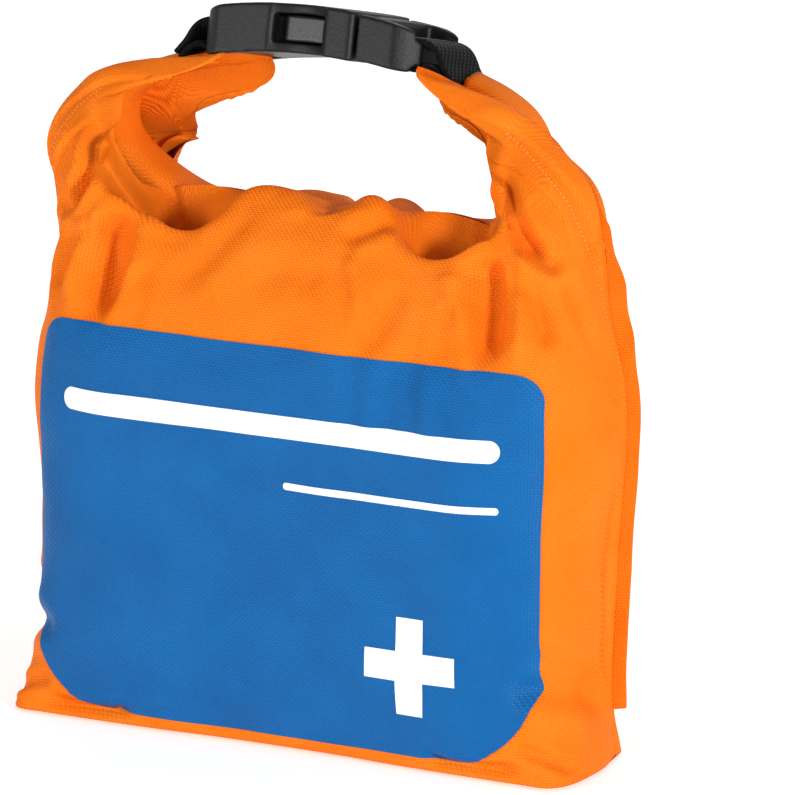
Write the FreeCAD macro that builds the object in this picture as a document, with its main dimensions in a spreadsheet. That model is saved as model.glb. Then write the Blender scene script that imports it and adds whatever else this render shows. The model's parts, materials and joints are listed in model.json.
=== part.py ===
import FreeCAD, Part
import math
import os
import Sketcher

# A waterproof roll-top first aid kit. Millimetres, +Z up, origin on the floor under the middle of the bag.
# The bag is three welded fabric panels. Its rolled mouth ends in two ears, which a side-release buckle joins
# into a carrying handle. The handle leans back and tilts about an axis along X through the feet of the ears.

doc = FreeCAD.newDocument("first_aid_kit")
sheet = doc.addObject("Spreadsheet::Sheet", "sheet")

DRIVING = {
    # bag
    "bag_width": 137.0,
    "bag_depth": 60.0,
    "bag_height": 119.0,
    "fabric": 1.0,
    "flange_reach": 6.5,
    "flange_skin": 0.5,
    "gusset_height": 13.0,
    "corner_radius": 26.0,
    "rim_width": 124.0,
    "rim_depth": 30.0,
    "rim_notch": 11.0,
    # colour panel and its print
    "panel_width": 126.0,
    "panel_bottom": 4.5,
    "panel_top": 93.5,
    "panel_corner": 7.0,
    "panel_corner_low": 20.0,
    "film": 0.4,
    "cross_arm": 22.0,
    "cross_bar": 6.6,
    "cross_side": 34.5,
    "cross_level": 24.5,
    "stripe_height": 5.0,
    "stripe_length": 110.0,
    "stripe_level": 72.0,
    "line_height": 1.6,
    "line_length": 52.0,
    "line_level": 60.5,
    # rolled mouth, ears and handle
    "roll_height": 9.0,
    "roll_gap": 1.0,
    "fit_gap": 0.4,
    "stiffener": 1.0,
    "hinge_height": 114.0,
    "handle_lean": 13.0,
    "handle_shift": 6.5,
    "ear_depth": 20.0,
    "ear_foot": 46.0,
    "ear_reach_right": 68.0,
    "ear_reach_left": 55.0,
    # buckle
    "buckle_radius": 130.0,
    "buckle_thick": 11.0,
    "buckle_width": 28.0,
    "buckle_rise": 47.6,
    "socket_length": 38.9,
    "plug_length": 14.4,
    "mouth_side": 11.9,
    "mouth_gap": 0.7,
    "buckle_wall": 2.3,
    "cavity_width": 21.0,
    "bridge": 7.6,
    "window": 12.6,
    "barb": 1.3,
    "arm_thick": 2.8,
    "arm_gap": 0.3,
    "tongue": 5.0,
    "pivot_play": 0.08,
    "bar_length": 4.0,
    "bar_thick": 6.6,
    "slot_length": 5.0,
    "tip_gap": 2.0,
    "thumb_radius": 12.0,
    "thumb_depth": 2.5,
    "web_width": 20.0,
    "web_thick": 1.4,
    # contents
    "floor_gap": 0.4,
    "blade_thick": 1.5,
    "blade_gap": 0.1,
    "rivet_dia": 4.0,
    "rivet_play": 0.05,
    "grip_thick": 4.0,
    "tweezer_width": 7.0,
    "tweezer_thick": 1.6,
}
for row, (alias, number) in enumerate(DRIVING.items(), start=1):
    sheet.set(f"A{row}", alias)
    sheet.set(f"B{row}", str(number))
    sheet.setAlias(f"B{row}", alias)
doc.recompute()


class Size:
    """A size worked out from the sheet: its number now, and the expression that keeps it bound to the cells."""

    def __init__(self, value, text):
        self.value = value
        self.text = text

    def joined(self, other, sign, value):
        return Size(value, f"({self.text} {sign} {other.text})")

    def __add__(self, other):
        other = as_size(other)
        return self.joined(other, "+", self.value + other.value)

    def __sub__(self, other):
        other = as_size(other)
        return self.joined(other, "-", self.value - other.value)

    def __mul__(self, factor):
        other = as_size(factor)
        return self.joined(other, "*", self.value * other.value)

    def __truediv__(self, factor):
        return Size(self.value / factor, f"({self.text} / {factor})")

    def __neg__(self):
        return Size(-self.value, f"(0 - {self.text})")


def as_size(number):
    return number if isinstance(number, Size) else Size(float(number), str(float(number)))


def cell(alias):
    return Size(getattr(sheet, alias), f"{sheet.Name}.{alias}")


def least(one, other):
    return Size(min(one.value, other.value), f"min({one.text}; {other.text})")


def square_root(size):
    return Size(math.sqrt(size.value), f"sqrt({size.text})")


ZERO = as_size(0)


# ---------------------------------------------------------------- helpers

def bind(thing, prop, size):
    """Sets a property to a size and keeps it bound to the sheet."""
    thing.setExpression(prop, size.text)


def new_body(name):
    return doc.addObject("PartDesign::Body", name)


def origin_plane(body, role):
    return next(plane for plane in body.Origin.OriginFeatures if plane.Role == role)


def new_sketch(body, name, role, offset=None):
    """A sketch on one of the body's own origin planes, moved along the plane's normal by offset."""
    sketch = body.newObject("Sketcher::SketchObject", name)
    sketch.AttachmentSupport = (origin_plane(body, role), "")
    sketch.MapMode = "FlatFace"
    if offset is not None:
        bind(sketch, "AttachmentOffset.Base.z", offset)
    return sketch


def constrain(sketch, kind, index, end, size):
    """Fixes one coordinate of a point. A coordinate of exactly zero puts the point on the axis."""
    if size is ZERO:
        axis = -2 if kind == "DistanceX" else -1
        sketch.addConstraint(Sketcher.Constraint("PointOnObject", index, end, axis))
        return
    number = sketch.addConstraint(Sketcher.Constraint(kind, index, end, size.value))
    sketch.setExpression(f"Constraints[{number}]", size.text)


def arc_between(start, end, radius):
    """The short arc from start to end. It bulges to the right of that way when radius is above 0."""
    chord = end - start
    left = FreeCAD.Vector(-chord.y, chord.x, 0) / chord.Length
    inset = math.sqrt(radius * radius - chord.Length * chord.Length / 4)
    side = 1 if radius > 0 else -1
    middle = (start + end) / 2 + left * side * (inset - abs(radius))
    return Part.Arc(start, middle, end)


def outline(sketch, corners):
    """A closed outline. Each corner is (x, y) or (x, y, radius), where radius bends the side that leaves it."""
    places = [FreeCAD.Vector(c[0].value, c[1].value, 0) for c in corners]
    ends = []
    for i, corner in enumerate(corners):
        here, there = places[i], places[(i + 1) % len(corners)]
        if len(corner) == 3:
            index = sketch.addGeometry(arc_between(here, there, corner[2].value), False)
            starts_here = (sketch.getPoint(index, 1) - here).Length < 1e-6
            ends.append((index, 1, 2) if starts_here else (index, 2, 1))
        else:
            index = sketch.addGeometry(Part.LineSegment(here, there), False)
            ends.append((index, 1, 2))
    for i, corner in enumerate(corners):
        index, first, last = ends[i]
        after, after_first, _ = ends[(i + 1) % len(corners)]
        sketch.addConstraint(Sketcher.Constraint("Coincident", index, last, after, after_first))
        constrain(sketch, "DistanceX", index, first, corner[0])
        constrain(sketch, "DistanceY", index, first, corner[1])
        if len(corner) == 3:
            bend = corner[2] if corner[2].value > 0 else -corner[2]
            number = sketch.addConstraint(Sketcher.Constraint("Radius", index, bend.value))
            sketch.setExpression(f"Constraints[{number}]", bend.text)
    return sketch


def circle(sketch, x, y, radius):
    """A full circle in the sketch."""
    place = FreeCAD.Vector(x.value, y.value, 0)
    index = sketch.addGeometry(Part.Circle(place, FreeCAD.Vector(0, 0, 1), radius.value), False)
    constrain(sketch, "DistanceX", index, 3, x)
    constrain(sketch, "DistanceY", index, 3, y)
    number = sketch.addConstraint(Sketcher.Constraint("Radius", index, radius.value))
    sketch.setExpression(f"Constraints[{number}]", radius.text)
    return sketch


def pad(body, sketch, length, side="Symmetric"):
    feature = body.newObject("PartDesign::Pad", sketch.Name + "_pad")
    feature.Profile = sketch
    feature.SideType = side
    bind(feature, "Length", length)
    sketch.Visibility = False
    return feature


def pocket(body, sketch, length):
    """Cuts the outline out of the body, half of length to each side of the sketch."""
    feature = body.newObject("PartDesign::Pocket", sketch.Name + "_pocket")
    feature.Profile = sketch
    feature.SideType = "Symmetric"
    bind(feature, "Length", length)
    return feature


def rectangle(x0, y0, x1, y1):
    return [(x0, y0), (x1, y0), (x1, y1), (x0, y1)]


def rounded(x0, y0, x1, y1, r):
    """A rectangle with round corners, run anticlockwise."""
    return [
        (x0 + r, y0), (x1 - r, y0, r),
        (x1, y0 + r), (x1, y1 - r, r),
        (x1 - r, y1), (x0 + r, y1, r),
        (x0, y1 - r), (x0, y0 + r, r),
    ]


def box_body(name, x0, y0, z0, x1, y1, z1, radius=None):
    """A block between two corners, with its upright edges rounded where a radius is given."""
    body = new_body(name)
    sketch = new_sketch(body, name + "_plan", "XY_Plane", z0)
    outline(sketch, rectangle(x0, y0, x1, y1) if radius is None else rounded(x0, y0, x1, y1, radius))
    pad(body, sketch, z1 - z0, "One side")
    return body


def cylinder_body(name, role, x, y, offset, radius, length, bore=None):
    """A round bar along the normal of an origin plane, from offset on, with a bore where one is given."""
    body = new_body(name)
    sketch = new_sketch(body, name + "_circle", role, offset)
    circle(sketch, x, y, radius)
    if bore is not None:
        circle(sketch, x, y, bore)
    pad(body, sketch, length, "One side")
    return body


def cut(name, base, *tools):
    """Base with every tool taken away."""
    for i, tool in enumerate(tools):
        feature = doc.addObject("Part::Cut", name if i == len(tools) - 1 else f"{name}_cut{i}")
        feature.Base = base
        feature.Tool = tool
        base = feature
    return base


def common(name, base, tool):
    feature = doc.addObject("Part::Common", name)
    feature.Base = base
    feature.Tool = tool
    return feature


def fuse(name, *pieces):
    feature = doc.addObject("Part::MultiFuse", name)
    feature.Shapes = list(pieces)
    feature.Refine = True
    return feature


def group(name, pieces):
    """Several separate solids that share one node."""
    feature = doc.addObject("Part::Compound", name)
    feature.Links = list(pieces)
    return feature


exported = []


def export(piece, label):
    piece.Label = label
    exported.append(piece)
    return piece


# ---------------------------------------------------------------- bag

half_width = cell("bag_width") / 2
half_depth = cell("bag_depth") / 2
bag_height = cell("bag_height")
fabric = cell("fabric")
corner = least(cell("corner_radius"), half_depth - 4)


def bag_loft(name, inset, reach):
    """The filled bag's form, its sides and floor taken in by inset, and each side moved out by reach."""
    body = new_body(name)
    rim_x, rim_y = cell("rim_width") / 2, cell("rim_depth") / 2
    floor = inset if inset.value > 0 else ZERO
    levels = [
        (floor, half_width - 3, half_depth - 4, corner * 0.6),
        (cell("gusset_height") * 0.6, half_width - 0.5, half_depth - 0.6, corner * 0.75),
        (bag_height * 0.36, half_width, half_depth, corner),
        (bag_height * 0.68, half_width - 0.5, half_depth - 1.5, corner),
        (bag_height * 0.88, half_width - 3, half_depth - 8, corner * 0.75),
        (bag_height if inset is ZERO else bag_height + 0.5, rim_x, rim_y, corner * 0.5),
    ]
    sketches = []
    for i, (level, x, y, bend) in enumerate(levels):
        x, y, bend = x - inset + reach, y - inset, bend - inset
        sketch = new_sketch(body, f"{name}_level{i}", "XY_Plane", level)
        outline(sketch, rounded(-x, -y, x, y, bend))
        sketches.append(sketch)
    loft = body.newObject("PartDesign::AdditiveLoft", name + "_loft")
    loft.Profile = sketches[0]
    loft.Sections = sketches[1:]
    loft.Ruled = False
    return body


bag_outside = bag_loft("bag_outside", ZERO, ZERO)
bag_inside = bag_loft("bag_inside", fabric, ZERO)
bag_with_flange = bag_loft("bag_with_flange", ZERO, cell("flange_reach"))
beyond = half_width * 2


def notch(name, x0, x1):
    """A gap cut in the rim, in which an ear of the handle stands."""
    low = bag_height - cell("rim_notch")
    return box_body(name, x0, -beyond, low, x1, beyond, bag_height * 1.2)


shift = -cell("handle_shift")
ear_foot = cell("ear_foot")
roll_gap = cell("roll_gap")
notches = [
    notch("right_notch", shift + ear_foot - 1.5, beyond),
    notch("left_notch", -beyond, shift - ear_foot + 1.5),
]
shell = cut("bag_shell", bag_outside, bag_inside, *notches)
gusset_height = cell("gusset_height")


def welded_panel(name, label, side):
    """Half of the bag above the bottom gusset, with its own skin of the two welded side flanges."""
    skin = cell("flange_skin")
    near, far = (-beyond, ZERO) if side < 0 else (ZERO, beyond)
    half_space = box_body(name + "_half", -beyond, near, gusset_height, beyond, far, bag_height * 1.1)
    wall = common(name + "_wall", shell, half_space)
    near, far = (-skin, ZERO) if side < 0 else (ZERO, skin)
    flange_top = bag_height - cell("rim_notch")
    sliver = box_body(name + "_sliver", -beyond, near, gusset_height, beyond, far, flange_top)
    flange = cut(name + "_flange", common(name + "_plate", bag_with_flange, sliver), bag_outside)
    return export(fuse(name, wall, flange), label)


front_panel = welded_panel("front", "front_panel", -1)
back_panel = welded_panel("back", "back_panel", 1)
below = box_body("below_gusset", -beyond, -beyond, -fabric, beyond, beyond, gusset_height)
export(common("gusset", shell, below), "bottom_gusset")


# ---------------------------------------------------------------- colour panel and print on the front

def film_on_front(name, lift, corners):
    """A thin film that follows the front of the bag, within an outline seen from the front."""
    skin = bag_loft(name + "_form", -lift - cell("film"), ZERO)
    under = bag_loft(name + "_under", -lift, ZERO) if lift is not ZERO else bag_outside
    body = new_body(name + "_field")
    sketch = new_sketch(body, name + "_outline", "XZ_Plane")
    outline(sketch, corners)
    pad(body, sketch, beyond)
    front_half = box_body(name + "_front", -beyond, -beyond, ZERO, beyond, -half_depth * 0.4, bag_height)
    return cut(name, common(name + "_slab", common(name + "_cut", skin, body), front_half), under)


side, low, high = cell("panel_width") / 2, cell("panel_bottom"), cell("panel_top")
bend, wide_bend = cell("panel_corner"), cell("panel_corner_low")
panel_outline = [
    (-side + wide_bend, low), (side - wide_bend, low, wide_bend),
    (side, low + wide_bend), (side, high - bend, bend),
    (side - bend, high), (-side + bend, high, bend),
    (-side, high - bend), (-side, low + wide_bend, wide_bend),
]
export(film_on_front("colour_film", ZERO, panel_outline), "colour_panel")

cross_x, cross_z = cell("cross_side"), cell("cross_level")
arm, bar_half = cell("cross_arm") / 2, cell("cross_bar") / 2
cross_outline = [
    (cross_x - arm, cross_z - bar_half), (cross_x - bar_half, cross_z - bar_half),
    (cross_x - bar_half, cross_z - arm), (cross_x + bar_half, cross_z - arm),
    (cross_x + bar_half, cross_z - bar_half), (cross_x + arm, cross_z - bar_half),
    (cross_x + arm, cross_z + bar_half), (cross_x + bar_half, cross_z + bar_half),
    (cross_x + bar_half, cross_z + arm), (cross_x - bar_half, cross_z + arm),
    (cross_x - bar_half, cross_z + bar_half), (cross_x - arm, cross_z + bar_half),
]
print_cross = film_on_front("print_cross", cell("film"), cross_outline)


def stripe(name, x0, x1, level, height):
    """A printed stripe with round ends."""
    return film_on_front(name, cell("film"), rounded(x0, level, x1, level + height, height * 0.45))


stripe_end = cell("stripe_length") / 2
wide_stripe = stripe("wide_stripe", -stripe_end, stripe_end, cell("stripe_level"), cell("stripe_height"))
thin_stripe = stripe(
    "thin_stripe", stripe_end - cell("line_length"), stripe_end, cell("line_level"), cell("line_height"))
export(group("prints", [print_cross, wide_stripe, thin_stripe]), "panel_print")


# ---------------------------------------------------------------- rolled mouth

rim_inside = cell("rim_depth") / 2 - fabric
roll_half = rim_inside - cell("fit_gap")
roll_low = bag_height - cell("roll_height") - 1
roll_left, roll_right = shift - ear_foot + roll_gap, shift + ear_foot - roll_gap
stiffener = cell("stiffener")


def roll_outline(x0, x1, z0, z1):
    return rounded(x0, z0, x1, z1, (z1 - z0) * 0.3)


def rolled_mouth():
    """The middle of the rolled mouth: a flat roll of fabric that closes the bag."""
    body = new_body("rolled_mouth")
    sketch = new_sketch(body, "rolled_mouth_end", "YZ_Plane", roll_left)
    outline(sketch, roll_outline(-roll_half, roll_half, roll_low, roll_low + cell("roll_height")))
    pad(body, sketch, roll_right - roll_left, "One side")
    return body


def mouth_stiffener(name, level):
    """A flat plastic strip that runs along the rolled mouth in the middle of its width."""
    half = roll_half - 2
    return box_body(name, roll_left, -half, level, roll_right, half, level + stiffener)


strip_low = mouth_stiffener("strip_low", roll_low + cell("roll_height") * 0.25)
strip_high = mouth_stiffener("strip_high", roll_low + cell("roll_height") * 0.6)
export(cut("closure_roll", rolled_mouth(), strip_low, strip_high), "closure_roll")
export(strip_low, "mouth_stiffener_front")
export(strip_high, "mouth_stiffener_back")

# ---------------------------------------------------------------- handle frame

# Handle pieces are drawn upright, with x measured from the middle of the handle and z from the hinge axis.
hinge_height = cell("hinge_height")
lean = cell("handle_lean")


def in_handle(piece):
    """Moves a finished handle piece to its place: on the hinge axis, leaning back."""
    piece.Placement = FreeCAD.Placement(
        FreeCAD.Vector(shift.value, 0, hinge_height.value),
        FreeCAD.Rotation(FreeCAD.Vector(1, 0, 0), -lean.value))
    bind(piece, "Placement.Base.x", shift)
    bind(piece, "Placement.Base.z", hinge_height)
    bind(piece, "Placement.Rotation.Angle", lean)
    piece.setExpression("Placement.Rotation.Axis.x", "-1")
    return piece


# ---------------------------------------------------------------- buckle

radius_out = cell("buckle_radius")
radius_in = radius_out - cell("buckle_thick")
arc_height = cell("buckle_rise") - radius_out
mouth = cell("mouth_side")
socket_end = mouth - cell("socket_length")
plug_start = mouth + cell("mouth_gap")
plug_end = plug_start + cell("plug_length")
width = cell("buckle_width")
wall = cell("buckle_wall")
cavity_in, cavity_out = radius_in + wall, radius_out - wall
cavity_half = cell("cavity_width") / 2
window_end = mouth - cell("bridge")
window_start = window_end - cell("window")
tall = radius_out * 1.5


def arch_sketch(body, name, x0, x1, inner, outer):
    """Between two arcs round the buckle's arc centre, with upright ends at x0 and x1."""
    sketch = new_sketch(body, name, "XZ_Plane")
    centre = arc_height.value
    for radius in (outer, inner):
        levels = [centre + math.sqrt(radius.value ** 2 - x.value ** 2) for x in (x1, x0)]
        spots = [FreeCAD.Vector(x.value, level, 0) for x, level in zip((x1, x0), levels)]
        crown = FreeCAD.Vector((x0.value + x1.value) / 2, 0, 0)
        crown.y = centre + math.sqrt(radius.value ** 2 - crown.x ** 2)
        sketch.addGeometry(Part.Arc(spots[0], crown, spots[1]), False)
    for index, radius in ((0, outer), (1, inner)):
        sketch.addConstraint(Sketcher.Constraint("PointOnObject", index, 3, -2))
        constrain(sketch, "DistanceY", index, 3, arc_height)
        constrain(sketch, "DistanceX", index, 1, x1)
        constrain(sketch, "DistanceX", index, 2, x0)
        number = sketch.addConstraint(Sketcher.Constraint("Radius", index, radius.value))
        sketch.setExpression(f"Constraints[{number}]", radius.text)
    for end in (1, 2):
        points = sketch.getPoint(0, end), sketch.getPoint(1, end)
        line = sketch.addGeometry(Part.LineSegment(*points), False)
        sketch.addConstraint(Sketcher.Constraint("Coincident", 0, end, line, 1))
        sketch.addConstraint(Sketcher.Constraint("Coincident", 1, end, line, 2))
    return sketch


def arch_body(name, x0, x1, inner, outer, across):
    body = new_body(name)
    pad(body, arch_sketch(body, name + "_arch", x0, x1, inner, outer), across)
    return body


def plan_body(name, corners):
    """An upright prism on an outline seen from above, tall enough to pass right through the buckle."""
    body = new_body(name)
    sketch = new_sketch(body, name + "_plan", "XY_Plane")
    outline(sketch, corners)
    pad(body, sketch, tall * 2)
    return body


def edges_where(shape, test):
    return [f"Edge{i}" for i, edge in enumerate(shape.Edges, start=1) if test(edge)]


def thinned_bar(name, x0, x1, across):
    """The two blocks to cut above and below a webbing bar, which leave the bar thinner than the buckle."""
    middle, reach = (radius_in + radius_out) / 2, cell("bar_thick") / 2
    return [
        arch_body(name + "_top", x0, x1, middle + reach, radius_out + 2, across),
        arch_body(name + "_low", x0, x1, radius_in - 2, middle - reach, across),
    ]


def buckle_socket():
    """The socket half: an arched housing with a mouth, two side windows, thumb hollows and a webbing bar."""
    half = width / 2
    nose, nose_bend = as_size(5), as_size(8)
    edge_bend = as_size(1.5)
    shape = common(
        "socket_solid",
        arch_body("socket_arch", socket_end, mouth, radius_in, radius_out, width * 1.2),
        plan_body("socket_plan", [
            (socket_end + nose, -half), (mouth - edge_bend, -half, edge_bend),
            (mouth, -half + edge_bend), (mouth, half - edge_bend, edge_bend),
            (mouth - edge_bend, half), (socket_end + nose, half, nose_bend),
            (socket_end, half - nose), (socket_end, -half + nose, nose_bend),
        ]))
    cavity = arch_body("socket_cavity", window_start - 4, mouth + 1, cavity_in, cavity_out, cavity_half * 2)
    windows = arch_body("socket_windows", window_start, window_end, cavity_in, cavity_out, width * 1.2)
    slot_start = socket_end + cell("bar_length")
    slot = plan_body("socket_slot", rounded(
        slot_start, -cell("web_width") / 2 - 1,
        slot_start + cell("slot_length"), cell("web_width") / 2 + 1, as_size(1)))
    bar_cuts = thinned_bar("socket_bar", socket_end - 1, slot_start + 0.5, cell("web_width") + 2)
    hollow_x = (window_start + window_end) / 2
    hollow_y = half + cell("thumb_radius") - cell("thumb_depth")
    hollows = []
    for side, name in ((-1, "front_hollow"), (1, "rear_hollow")):
        body = new_body(name)
        sketch = new_sketch(body, name + "_circle", "XY_Plane")
        circle(sketch, hollow_x, hollow_y * side, cell("thumb_radius"))
        pad(body, sketch, tall * 2)
        hollows.append(body)
    return cut("socket", shape, cavity, windows, slot, *bar_cuts, *hollows)


def pivot_place(side):
    """Where a locking arm flexes: (x, y) of its root, inside the front of the plug's base."""
    return plug_start + 1.5, (cavity_half - cell("arm_gap") - cell("arm_thick") / 2) * side


def locking_arm(name, side):
    """A springy arm of the plug: round root, straight arm, and a thumb pad that locks behind the bridge."""
    pivot_x, pivot_y = pivot_place(side)
    thick = cell("arm_thick") / 2
    outer_face = cavity_half - cell("arm_gap")
    inner_face = outer_face - cell("arm_thick")
    shoulder = window_end - cell("arm_gap")
    pad_face = cavity_half + cell("barb")
    tip = window_start + 0.8
    nose, nose_bend = as_size(2.5), as_size(2.6)
    if side > 0:
        corners = [
            (tip, outer_face - 1.5), (tip + 2, inner_face - 1), (pivot_x, inner_face), (pivot_x, outer_face),
            (shoulder, outer_face), (shoulder, pad_face),
            (tip + nose, pad_face, nose_bend), (tip, pad_face - nose),
        ]
    else:
        corners = [
            (tip, -pad_face + nose, nose_bend), (tip + nose, -pad_face),
            (shoulder, -pad_face), (shoulder, -outer_face),
            (pivot_x, -outer_face), (pivot_x, -inner_face),
            (tip + 2, -inner_face + 1), (tip, -outer_face + 1.5),
        ]
    blade = common(
        name, plan_body(name + "_plan", corners),
        arch_body(name + "_arch", tip - 1, pivot_x + 4, cavity_in + 0.3, cavity_out - 0.3, width * 1.2))
    root = common(
        name + "_root",
        cylinder_body(name + "_pin", "XY_Plane", pivot_x, pivot_y, ZERO, thick, tall),
        arch_body(name + "_root_arch", tip, pivot_x + 6, cavity_in + 0.3, cavity_out - 0.3, width * 1.2))
    return fuse(name + "_arm", blade, root)


def buckle_plug():
    """The plug half: an arched base with a webbing bar, a guide tongue, and a seat for each arm's root."""
    half = width / 2
    near = half - 0.5
    taper, taper_bend = as_size(4), as_size(14)
    straight = plug_start + 9
    base = common(
        "plug_solid",
        arch_body("plug_arch", plug_start, plug_end, radius_in + 0.5, radius_out - 0.3, width * 1.2),
        plan_body("plug_plan", [
            (plug_start, -near), (straight, -near, taper_bend), (plug_end, -near + taper),
            (plug_end, near - taper, taper_bend), (straight, near), (plug_start, near),
        ]))
    tongue = arch_body(
        "plug_tongue", window_start, plug_start + 1, cavity_in + 0.4, cavity_out - 0.4, cell("tongue"))
    slot_end = plug_end - cell("bar_length")
    slot = plan_body("plug_slot", rounded(
        slot_end - cell("slot_length"), -cell("web_width") / 2 - 0.5,
        slot_end, cell("web_width") / 2 + 0.5, as_size(1)))
    bar_cuts = thinned_bar("plug_bar", slot_end - 0.5, plug_end + 1, cell("web_width") + 1)
    seats = []
    for side, name in ((-1, "front_seat"), (1, "rear_seat")):
        pivot_x, pivot_y = pivot_place(side)
        thick = cell("arm_thick") / 2 + cell("pivot_play")
        seats.append(cylinder_body(name, "XY_Plane", pivot_x, pivot_y, ZERO, thick, tall))
        throat_in = pivot_y - (thick + 1.2) * side
        throat_out = pivot_y + (thick + 0.05) * side
        low, high = (throat_in, throat_out) if side > 0 else (throat_out, throat_in)
        seats.append(box_body(name + "_throat", plug_start - 2, low, ZERO, pivot_x, high, tall))
    return cut("plug", fuse("plug_blank", base, tongue), slot, *bar_cuts, *seats)


export(in_handle(buckle_socket()), "buckle_socket")
export(in_handle(buckle_plug()), "buckle_plug")
export(in_handle(locking_arm("front_lock", -1)), "buckle_arm_front")
export(in_handle(locking_arm("rear_lock", 1)), "buckle_arm_rear")


# ---------------------------------------------------------------- webbing loops and ears

web = cell("web_thick")


def level_on_arc(radius, x):
    """The height, in the handle frame, of a point at x on an arc round the buckle's arc centre."""
    return arc_height + square_root(radius * radius - x * x)


def webbing(name, side, bar_x0, bar_x1):
    """Webbing folded round a buckle bar, with both layers of its tail running down into the ear."""
    middle, half_bar = (radius_in + radius_out) / 2, cell("bar_thick") / 2
    near, far = (bar_x0, bar_x1) if side > 0 else (bar_x1, bar_x0)
    low, high = level_on_arc(middle - half_bar, far), level_on_arc(middle + half_bar, near)
    play = cell("fit_gap")
    inner_x0, inner_x1 = bar_x0 - play, bar_x1 + play
    inner_z0, inner_z1 = low - play, high + play
    loop = new_body(name + "_loop")
    ring = new_sketch(loop, name + "_ring", "XZ_Plane")
    outline(ring, rounded(inner_x0 - web, inner_z0 - web, inner_x1 + web, inner_z1 + web, as_size(2)))
    pad(loop, ring, cell("web_width"))
    hole = new_sketch(loop, name + "_hole", "XZ_Plane")
    outline(hole, rounded(inner_x0, inner_z0, inner_x1, inner_z1, as_size(0.6)))
    pocket(loop, hole, cell("web_width") * 2)
    tail = new_body(name + "_tail")
    run = new_sketch(tail, name + "_run", "XZ_Plane")
    reach = cell("slot_length") * 3
    if side > 0:
        top = (inner_x1 + web * 0.5, inner_z0 + web * 2)
        corners = [
            (top[0], top[1] - web * 2), (top[0] + reach, top[1] - web * 2 - reach * 0.75),
            (top[0] + reach, top[1] - reach * 0.75), (top[0], top[1]),
        ]
    else:
        top = (inner_x0 - web * 0.5, inner_z0 + web * 2)
        corners = [
            (top[0], top[1] - web * 2), (top[0], top[1]),
            (top[0] - reach, top[1] - reach * 0.75), (top[0] - reach, top[1] - web * 2 - reach * 0.75),
        ]
    outline(run, corners)
    pad(tail, run, cell("web_width"))
    return fuse(name, loop, tail)


def ear(name, side, reach):
    """A rolled end of the mouth, bent up towards the buckle. Its foot is half round about the hinge axis."""
    body = new_body(name)
    half = cell("ear_depth") / 2
    tip = (plug_end if side > 0 else -socket_end) + cell("tip_gap")
    edge = [
        (ear_foot, ZERO), (reach, ZERO), (reach - 6, as_size(16), as_size(30)),
        (ear_foot + 8, as_size(28), as_size(60)), (tip + 9, as_size(37.5)),
        (tip, as_size(34.5)), (ear_foot - 4, as_size(22), as_size(-30)),
    ]
    if side < 0:
        bends = [corner[2:] for corner in edge]
        edge = [(-edge[i][0], edge[i][1], *bends[i - 1]) for i in reversed(range(len(edge)))]
    face = new_sketch(body, name + "_face", "XZ_Plane")
    outline(face, edge)
    pad(body, face, half * 2)
    foot = new_sketch(body, name + "_foot", "YZ_Plane", ear_foot if side > 0 else -reach)
    outline(foot, [(-half, ZERO, half), (ZERO, -half, half), (half, ZERO)])
    pad(body, foot, reach - ear_foot, "One side")
    return body


def ear_strip(name, side, reach):
    """The end of the stiffener, closed in by the middle of an ear."""
    x0 = (ear_foot + reach) / 2 - stiffener / 2
    x1 = x0 + stiffener
    left, right = (x0, x1) if side > 0 else (-x1, -x0)
    half = cell("ear_depth") * 0.35
    return box_body(name, left, -half, -half * 0.6, right, half, half * 1.8)


for side, word in ((1, "right"), (-1, "left")):
    bar_x0 = plug_end - cell("bar_length") if side > 0 else socket_end
    strap = webbing(f"{word}_webbing", side, bar_x0, bar_x0 + cell("bar_length"))
    reach = cell("ear_reach_right") if side > 0 else cell("ear_reach_left")
    strip = ear_strip(f"{word}_ear_strip", side, reach)
    blank = ear(f"{word}_ear_blank", side, reach)
    export(in_handle(cut(f"{word}_ear", blank, strap, strip)), f"roll_end_{word}")
    export(in_handle(group(f"{word}_strap", [strap])), f"webbing_{word}")
    export(in_handle(group(f"{word}_strip", [strip])), f"roll_end_stiffener_{word}")


# ---------------------------------------------------------------- contents of the bag

# Everything packed inside is placed by shares of the room inside: x and y from the middle, z from the floor.
room_x, room_y = half_width - fabric, half_depth - fabric
floor = fabric + cell("floor_gap")
room_z = roll_low - floor - 1


def share(x=0.0, y=0.0, z=0.0):
    """A place in the room inside the bag, from shares of its half width, half depth and height."""
    return room_x * x, room_y * y, floor + room_z * z


def pack(label, x, y, z, bend=3.0):
    """A flat pack or folded cloth between two shares along each axis."""
    x0, y0, z0 = share(x[0], y[0], z[0])
    x1, y1, z1 = share(x[1], y[1], z[1])
    body = new_body(label)
    sketch = new_sketch(body, label + "_face", "XZ_Plane", -y1)
    outline(sketch, rounded(x0, z0, x1, z1, as_size(bend)))
    block = pad(body, sketch, y1 - y0, "One side")
    doc.recompute()
    faces = edges_where(block.Shape, lambda edge: abs(edge.BoundBox.YLength) < 1e-6)
    fillet = body.newObject("PartDesign::Fillet", label + "_soft")
    fillet.Base = (block, faces)
    bind(fillet, "Radius", (y1 - y0) * 0.3)
    return export(body, label)


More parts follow.
